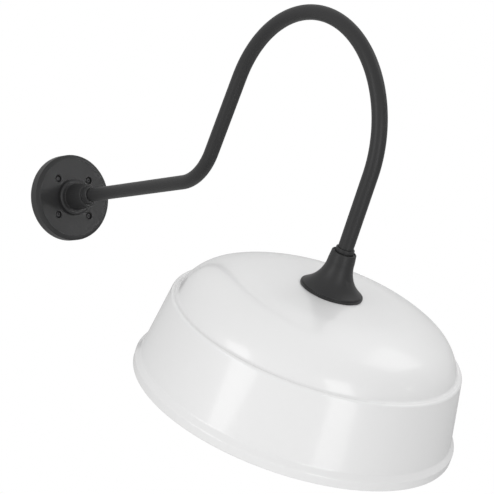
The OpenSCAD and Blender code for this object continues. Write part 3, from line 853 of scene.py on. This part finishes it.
@dataclass
class Head:
    """Neck casting, shade and the pieces that clamp them, on the shade's axis.

    Attributes:
        place: Frame of the shade's seat, with Z up along its axis.
        sheet, hole_r, seat_r: Sheet's thickness, and radii of its hole and flat seat.
        crown, dome, edge, groove: Radius of each arc, and slope where it ends. The last is hollow.
        bead_r, skirt: Shoulder bead's radius, and length and slope of the skirt.
        flange, flange_w: Hollow under the skirt, like the arcs, and the flange's width.
        rim_r, rim_h, hem_r: Radius of the turn to the rim, its height, and radius of its rolled edge.
        lip_r, lip_h, lip_edge: Radius, height and chamfer of the neck's lip.
        lip_step, lip_round: Width of the lip's ledge, and radius of its turn to the flare.
        flare_r, flare_a, wall: Flare's radius and angle, and thickness of the neck's wall.
        top_r, top, top_edge: Radius, height and rounding of the neck's top.
        top_w, groove_h: Width of its ledge, and depth of the groove behind it.
        collar_r, collar_top: Radius and height of the collar around the tube.
        socket_r, web_high, web_low, wire_r: Tube socket's radius, heights of its web and hole in that.
        tail_r, tail_in, tail_l: Threaded tail's radii, and its length under the seat.
        set_screw_h: Height of the neck's set screw.
    """

    place: Matrix
    sheet: float = 1.5
    hole_r: float = 19.4
    seat_r: float = 47.0
    crown: Point = (690.0, 4.4)
    dome: Point = (180.0, 29.1)
    edge: Point = (66.0, 69.93)
    groove: Point = (4.5, -9.85)
    bead_r: float = 4.0
    skirt: Point = (92.2, 80.1)
    flange: Point = (6.0, 50.0)
    flange_w: float = 7.8
    rim_r: float = 3.0
    rim_h: float = 9.6
    hem_r: float = 2.2
    lip_r: float = 45.2
    lip_h: float = 3.2
    lip_edge: float = 0.4
    lip_step: float = 2.4
    lip_round: float = 2.8
    flare_r: float = 48.9
    flare_a: float = 57.2
    wall: float = 3.5
    top_r: float = 17.7
    top: float = 59.8
    top_edge: float = 1.2
    top_w: float = 2.0
    groove_h: float = 1.2
    collar_r: float = 13.4
    collar_top: float = 65.8
    socket_r: float = 11.2
    web_high: float = 27.5
    web_low: float = 19.5
    wire_r: float = 5.0
    tail_r: float = 19.0
    tail_in: float = 16.0
    tail_l: float = 14.0
    set_screw_h: float = 47.65

    def sheet_line(self, inset: float) -> list[Point]:
        """Profile of the shade's sheet, from its hole to its rolled edge.

        Args:
            inset: Distance in from the outer face.

        Returns:
            Radius and height of each point.
        """

        def shift(centre: Point, length: float, slope: float) -> Point:
            """Moves a point square to a surface of the given slope."""
            turn = radians(slope)
            return centre[0] + length * sin(turn), centre[1] + length * cos(turn)

        def slide(start: Point, length: float, slope: float) -> Point:
            """Moves a point down a surface of the given slope."""
            turn = radians(slope)
            return start[0] + length * cos(turn), start[1] - length * sin(turn)

        crown_c = (self.seat_r, -self.crown[0])
        dome_c = shift(crown_c, self.crown[0] - self.dome[0], self.crown[1])
        edge_c = shift(dome_c, self.dome[0] - self.edge[0], self.dome[1])
        groove_c = shift(edge_c, self.edge[0] + self.groove[0], self.edge[1])
        bead_c = shift(groove_c, -(self.groove[0] + self.bead_r), self.groove[1])
        skirt_end = slide(shift(bead_c, self.bead_r, self.skirt[1]), *self.skirt)
        flange_c = shift(skirt_end, self.flange[0], self.skirt[1])
        flange_end = slide(shift(flange_c, -self.flange[0], self.flange[1]), self.flange_w, self.flange[1])
        rim_c = shift(flange_end, -self.rim_r, self.flange[1])
        hem_c = (rim_c[0] + self.rim_r - self.hem_r, rim_c[1] - self.rim_h)
        return [
            (self.hole_r, -inset),
            *on_arc(crown_c, self.crown[0] - inset, 0, self.crown[1], 6),
            *on_arc(dome_c, self.dome[0] - inset, self.crown[1], self.dome[1], 20)[1:],
            *on_arc(edge_c, self.edge[0] - inset, self.dome[1], self.edge[1], 18)[1:],
            *on_arc(groove_c, -self.groove[0] - inset, self.edge[1], self.groove[1], 14),
            *on_arc(bead_c, self.bead_r - inset, self.groove[1], self.skirt[1], 16)[1:],
            *on_arc(flange_c, -self.flange[0] - inset, self.skirt[1], self.flange[1], 8),
            *on_arc(rim_c, self.rim_r - inset, self.flange[1], 90, 8),
            *on_arc(hem_c, self.hem_r - inset, 90, 270, 14),
        ]

    def shade(self) -> None:
        """Builds the spun shade from one sheet."""
        outline = self.sheet_line(0) + self.sheet_line(self.sheet)[::-1]
        wear(turned("spun_shade", outline, self.place, 192), ENAMEL_WHITE, "shade")

    def neck(self) -> None:
        """Builds the flared neck casting with its groove, collar, socket and tail."""
        lip = (self.lip_r - self.lip_step - self.lip_round, self.lip_h)
        across, rise = cos(radians(self.flare_a)), sin(radians(self.flare_a))
        reach = self.lip_round + self.flare_r
        flare = (lip[0] + reach * across, lip[1] + reach * rise)
        hollow = self.flare_r + self.wall
        low_a = degrees(asin((flare[1] - self.web_low) / hollow))
        ledge = self.lip_r - self.lip_edge
        outline = [(flare[0] - hollow * across, 0.0), (ledge, 0.0), (self.lip_r, self.lip_edge)]
        outline += [(self.lip_r, self.lip_h - self.lip_edge), (ledge, self.lip_h)]
        outline += on_arc(lip, self.lip_round, 90, 90 - self.flare_a, 8)
        outline += on_arc(flare, -self.flare_r, 90 - self.flare_a, 90, 28)[1:]
        edge, groove, step_r = self.top_edge, self.top - self.groove_h, self.top_r - self.top_w
        outline += on_arc((self.top_r - edge, self.top - edge), edge, 90, 0, 6)
        outline += rounded([
            (self.top_r - edge, self.top, 0), (step_r, self.top, 0.3), (step_r, groove, 0),
            (self.collar_r, groove, 0), (self.collar_r, self.collar_top, 1.2),
            (self.socket_r, self.collar_top, 0),
        ])[1:]
        outline += [
            (self.socket_r, self.web_high), (self.wire_r, self.web_high), (self.wire_r, self.web_low),
            (self.tail_in, self.web_low), (self.tail_in, -self.tail_l), (self.tail_r, -self.tail_l),
            (self.tail_r, self.web_low),
        ]
        outline += on_arc(flare, -hollow, 90 - low_a, 90 - self.flare_a, 8)
        piece = turned("flared_neck_casting", outline[:-1], self.place, 96)
        spot = self.place @ Matrix.Translation((0, 0, self.set_screw_h * MM))
        spot = spot @ Matrix.Rotation(-pi / 2, 4, "X")
        carve(piece, [turned("tool", SET_SCREW_HOLE, spot, 40)])
        wear(piece, POWDER_BLACK, "shade_neck")

    def build(self) -> None:
        """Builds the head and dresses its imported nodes."""
        self.shade()
        self.neck()
        dress({
            "neck_set_screw": SCREW_BLACK, "neck_seal": SEAL_RUBBER, "shade_lock_ring": ZINC, "nipple": ZINC,
            "nipple_nuts": ZINC,
        })


@dataclass
class Holder:
    """Porcelain lamp holder under the neck's tail.

    Attributes:
        place: Frame of the shade's seat.
        cap, body: Radius, height and rounding of the corners of the cap and of the porcelain.
        mouth: Height of the porcelain's mouth.
        screw_x, screw_hole_r, screw_sink: Its screw holes' distance off the axis, radius and counterbore.
        shell_r, shell_in, shell_t: Shell's radius, hole and sheet.
        shell_top, shell_end, thread_depth: Heights of its ends, and depth of its thread.
    """

    place: Matrix
    cap: Corners = (
        (5.0, -14.0, 0.2), (5.0, -15.6, 0.2), (20.9, -15.6, 0.6), (20.9, -30.0, 0.3),
        (22.5, -30.0, 0.3), (22.5, -14.0, 2.0),
    )
    body: Corners = (
        (2.3, -26.6, 0.2), (20.8, -26.6, 1.0), (20.8, -30.3, 0.3), (23.5, -30.3, 1.2),
        (23.5, -35.0, 1.4), (22.8, -35.0, 0.6), (21.5, -63.6, 0.5), (20.0, -65.6, 1.2),
        (13.8, -65.6, 1.0), (13.8, -37.1, 0.0), (2.3, -37.1, 0.0),
    )
    mouth: float = -65.6
    screw_x: float = 17.3
    screw_hole_r: float = 1.5
    screw_sink: Point = (2.5, 3.8)
    shell_r: float = 13.7
    shell_in: float = 5.6
    shell_t: float = 0.6
    shell_top: float = -37.1
    shell_end: float = -61.6
    thread_depth: float = 0.5

    def build(self) -> None:
        """Builds the cap, the porcelain and the threaded shell."""
        wear(turned("holder_steel_cap", rounded(self.cap), self.place, 72), ZINC, "holder_cap")
        piece = turned("porcelain_holder", rounded(self.body), self.place, 96)
        sink_r, floor, below = self.screw_sink[0], self.mouth + self.screw_sink[1], self.mouth - 2 * OVERLAP
        hole = [
            (0, below), (sink_r, below), (sink_r, floor),
            (self.screw_hole_r, floor), (self.screw_hole_r, 0), (0, 0),
        ]
        spots = [self.place @ Matrix.Translation((side * self.screw_x * MM, 0, 0)) for side in (-1, 1)]
        carve(piece, [turned("tool", hole, spot, 32) for spot in spots])
        wear(piece, PORCELAIN, "holder_body")
        low, inner_r, inner_top = self.shell_end, self.shell_r - self.shell_t, self.shell_top - self.shell_t
        rows = thread_rows(inner_top, low)
        shell = [(self.shell_in, inner_top), *[(inner_r, height) for height in rows[1:]]]
        shell += [(inner_r, low), (self.shell_r, low), *[(self.shell_r, height) for height in reversed(rows)]]
        shell += [(self.shell_r, self.shell_top), (self.shell_in, self.shell_top)]
        swell = thread(self.thread_depth, self.shell_top - 1, low)
        wear(turned("threaded_shell", shell, self.place, 64, swell), BRASS, "screw_shell")
        dress({"centre_contact": BRASS, "terminal_screws": BRASS, "holder_screws": ZINC})


@dataclass
class Lamp:
    """Screw-base lamp with a frosted globe, which comes out along the shade's axis.

    Attributes:
        place: Frame of the shade's seat.
        base_r, base_t, base_top, base_end: Screw base's radius, sheet and ends.
        thread_depth: Depth of its thread.
        housing: Radius, height and rounding of the housing's corners.
        globe_r, globe_t, globe_z, globe_a: Globe's radius, wall, middle and angle where it begins.
    """

    place: Matrix
    base_r: float = 12.8
    base_t: float = 1.0
    base_top: float = -45.4
    base_end: float = -67.4
    thread_depth: float = 0.9
    housing: Corners = (
        (0.0, -67.4, 0.0), (14.3, -67.4, 1.0), (14.3, -73.4, 3.0), (22.8, -94.0, 14.0),
        (27.9, -106.9, 0.6), (24.9, -106.9, 0.0), (24.9, -104.5, 0.0), (0.0, -104.5, 0.0),
    )
    globe_r: float = 30.0
    globe_t: float = 1.2
    globe_z: float = -117.4
    globe_a: float = 69.5

    def build(self) -> None:
        """Builds the base, the housing and the globe."""
        low, inner_r = self.base_end, self.base_r - self.base_t
        base = [(0, self.base_top - 1, 0), (0, self.base_top, 0), (self.base_r - 2, self.base_top, 0.8)]
        base = rounded(base)[:-1]
        base += [(self.base_r, height) for height in thread_rows(self.base_top - 2.5, low)]
        base += [(self.base_r, low), (inner_r, low)]
        base += [(inner_r, self.base_top - 3), (self.base_r - 2.8, self.base_top - 1)]
        swell = thread(self.thread_depth, self.base_top - 3, low + 1)

        def outside(radius: float, height: float, angle: float) -> float:
            """Thread on the outer face alone."""
            return swell(radius, height, angle) if radius > self.base_r - 0.5 else 0.0

        wear(turned("threaded_base", base, self.place, 64, outside), NICKEL, "lamp_base", Body.LAMP)
        body = turned("lamp_body_moulding", rounded(self.housing, 6), self.place, 72)
        wear(body, LAMP_WHITE, "lamp_housing", Body.LAMP)
        middle = (0, self.globe_z)
        globe = on_arc(middle, self.globe_r, self.globe_a, 180, 24)
        globe += on_arc(middle, self.globe_r - self.globe_t, 180, self.globe_a, 24)
        wear(turned("frosted_globe", globe, self.place, 72), OPAL, "lamp_globe", Body.LAMP)
        dress({"lamp_tip": NICKEL, "lamp_insulator": DARK_GLASS})


@dataclass
class Wiring:
    """Leads through the arm and their connectors behind the plate.

    Attributes:
        length, radius: Length of a connector and radius of its skirt.
        ribs, rib_h: Number and height of the grip ribs.
    """

    length: float = 20.0
    radius: float = 4.2
    ribs: int = 14
    rib_h: float = 0.09

    def build(self) -> None:
        """Builds the ribbed connectors and dresses the leads."""

        def grip(radius: float, height: float, angle: float) -> float:
            """Ribs on the upper part of the cone."""
            ribbed = height > self.length * 0.3 and radius > 1
            return self.rib_h * cos(self.ribs * angle) if ribbed else 0.0

        parts = []
        low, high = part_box("wire_connectors")
        outline = rounded([
            (0, 0, 0), (self.radius, 0, 0.6), (self.radius, self.length * 0.28, 0.8),
            (self.radius * 0.93, self.length * 0.34, 0.3), (self.radius * 0.6, self.length - 1, 1.0),
            (self.radius * 0.5, self.length, 0.8), (0, self.length, 0),
        ])
        for side, end in ((-1, low.z), (1, high.z)):
            base = Vector(((low.x + high.x) / 2, (low.y + high.y) / 2, end - side * self.length * MM))
            parts.append(turned("connector", outline, stand(base, Vector((0, 0, side))), 84, grip))
        wear(join("twist_connectors", parts), CONNECTOR, "wire_connectors")
        dress({"line_lead": LEAD_BLACK, "neutral_lead": LEAD_WHITE})


@dataclass
class Softbox:
    """Flat soft lamp that faces a point.

    Attributes:
        name, power: Lamp's name, and power in watts.
        position, target: Where it is and which point it faces, in metres.
        width, height: Its size, in metres.
        spread: Degrees over which it throws its light.
        in_gloss: Whether glossy surfaces mirror it.
    """

    name: str
    position: Spot
    width: float
    height: float
    power: float
    spread: float = 180.0
    target: Spot = (0.0, -0.5, -0.1)
    in_gloss: bool = True

    def build(self) -> None:
        """Makes the lamp."""
        light = bpy.data.lights.new(self.name, "AREA")
        light.spread = radians(self.spread)
        light.shape, light.energy = "RECTANGLE", self.power
        light.size, light.size_y = self.width, self.height
        lamp = bpy.data.objects.new(self.name, light)
        lamp.location = self.position
        lamp.visible_camera = False
        lamp.visible_glossy = self.in_gloss
        way = Vector(self.target) - Vector(self.position)
        lamp.rotation_euler = way.to_track_quat("-Z", "Y").to_euler()
        bpy.context.scene.collection.objects.link(lamp)


@dataclass
class Studio:
    """Camera, floor, lamps and background.

    Attributes:
        eye, lens: Camera's place, and its focal length on a 36 mm sensor.
        heading, pitch, roll: Degrees that it looks right of the row's +Y, looks up and leans.
        floor_middle, floor_r: Middle and radius of the floor, in metres.
        floor_solid: Share of that radius that doesn't fade.
        ambient, mirrored: Background's light on the object, and share of white that gloss mirrors.
        sway, bright_side: Share by which that light grows towards its bright side, and where that is.
        lamps: The soft lamps.
    """

    eye: Spot = (-1586.9, -2480.4, -257.5)
    heading: float = 38.54
    pitch: float = 3.34
    roll: float = -0.67
    lens: float = 126.06
    floor_middle: Spot = (0.0, -0.45, -1.3)
    floor_r: float = 2.2
    floor_solid: float = 0.4
    ambient: float = 0.545
    sway: float = 0.6
    bright_side: Spot = (-0.8, -0.32, 0.51)
    mirrored: float = 0.3
    lamps: tuple[Softbox, ...] = ()

    def camera(self) -> None:
        """Makes the camera at the photograph's viewing angle."""
        heading, pitch, roll = (radians(angle) for angle in (self.heading, self.pitch, self.roll))
        flat = cos(pitch)
        ahead = Vector((sin(heading) * flat, cos(heading) * flat, sin(pitch)))
        level = Vector((cos(heading), -sin(heading), 0))
        above = level.cross(ahead)
        right = level * cos(roll) + above * sin(roll)
        top = above * cos(roll) - level * sin(roll)
        data = bpy.data.cameras.new("view")
        data.sensor_width, data.lens = 36.0, self.lens
        camera = bpy.data.objects.new("view", data)
        place = Matrix((right, top, -ahead)).transposed().to_4x4()
        place.translation = Vector(self.eye) * MM
        camera.matrix_world = place
        bpy.context.scene.collection.objects.link(camera)
        bpy.context.scene.camera = camera

    def floor(self) -> None:
        """Makes the pale floor, which fades out at its rim and is clear from below."""
        middle, sides = Vector(self.floor_middle), 96
        turns = [2 * pi * side / sides for side in range(sides)]
        ring = [middle + Vector((cos(turn), sin(turn), 0)) * self.floor_r for turn in turns]
        piece = mesh_piece("floor", ring, [range(sides)])
        if piece.data.polygons[0].normal.z < 0:
            piece.data.flip_normals()
        made = bpy.data.materials.new("pale_floor")
        made.use_nodes = True
        graph = Graph(made.node_tree)
        place = graph.node("ShaderNodeTexCoord", output="Object")
        tone = graph.mix(graph.noise(place, 300.0), (0.86, 0.86, 0.86), (0.9, 0.9, 0.9))
        pale = graph.node("ShaderNodeBsdfPrincipled", {}, {"Base Color": tone, "Roughness": 0.9})
        far = graph.vector("DISTANCE", place, middle)
        faded = graph.node(
            "ShaderNodeMapRange", {"interpolation_type": "SMOOTHSTEP"},
            {"Value": far, "From Min": self.floor_r * self.floor_solid, "From Max": self.floor_r},
        )
        below = graph.node("ShaderNodeNewGeometry", output="Backfacing")
        unseen = below.larger(faded)
        clear = graph.node("ShaderNodeBsdfTransparent")
        graph.node("ShaderNodeOutputMaterial", {}, {
            "Surface": graph.node("ShaderNodeMixShader", {}, {0: unseen, 1: pale, 2: clear}),
        })
        piece.data.materials.append(made)

    def background(self) -> None:
        """Makes a white background that lights the object softly."""
        world = bpy.data.worlds.new("studio")
        bpy.context.scene.world = world
        world.use_nodes = True
        graph = Graph(world.node_tree)
        seen = graph.node("ShaderNodeLightPath", output="Is Camera Ray")
        mirrored = graph.node("ShaderNodeLightPath", output="Is Glossy Ray")
        through = graph.node("ShaderNodeLightPath", output="Is Transmission Ray")
        white = seen.larger(through).larger(mirrored * self.mirrored)
        way = graph.node("ShaderNodeTexCoord", output="Generated")
        side = graph.vector("DOT_PRODUCT", way, self.bright_side)
        strength = white + (1 - white) * (self.ambient * (1 + side * self.sway))
        shader = graph.node("ShaderNodeBackground", {}, {"Color": (1, 1, 1, 1), "Strength": strength})
        graph.node("ShaderNodeOutputWorld", {}, {"Surface": shader})

    def build(self) -> None:
        """Makes the whole studio."""
        self.camera()
        self.floor()
        self.background()
        for lamp in self.lamps:
            lamp.build()
        bpy.context.scene.view_settings.view_transform = "Standard"


def shade_place(nipple_middle: float = 7.2) -> Matrix:
    """Frame of the shade's seat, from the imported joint's axis and the nipple's box.

    Args:
        nipple_middle: Height of the nipple's middle above the seat.

    Returns:
        The frame's matrix.
    """
    up = -Vector(frame["joints"][0]["axis"]).normalized()
    low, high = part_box("nipple")
    return stand((low + high) / 2 - up * nipple_middle * MM, up)


def main() -> None:
    """Builds the light piece by piece, then the studio."""
    logging.basicConfig(level=logging.INFO, format="%(name)s: %(message)s")
    seat = shade_place()
    assemblies = [
        WallSide(stand(Vector(), Vector((0, -1, 0)))), Arm(), Head(seat), Holder(seat), Lamp(seat), Wiring(),
        Studio(lamps=(
            Softbox("left", (-3.1, -0.8, 0.3), 1.1, 2.4, 17.0),
            Softbox("front", (-0.5, -2.7, -0.9), 0.75, 2.4, 12.0),
            Softbox("top", (1.8, -0.9, 2.1), 2.0, 2.0, 32.0, in_gloss=False),
            Softbox("high", (1.6, -1.7, 1.5), 1.3, 0.9, 3.4),
            Softbox("wall", (1.9, -2.4, 0.15), 0.6, 0.6, 0.15, 16.0, (-0.12, 0.0, 0.08)),
        )),
    ]
    for assembly in assemblies:
        assembly.build()
        LOG.info("%s is built", type(assembly).__name__)


if __name__ == "__main__":
    main()
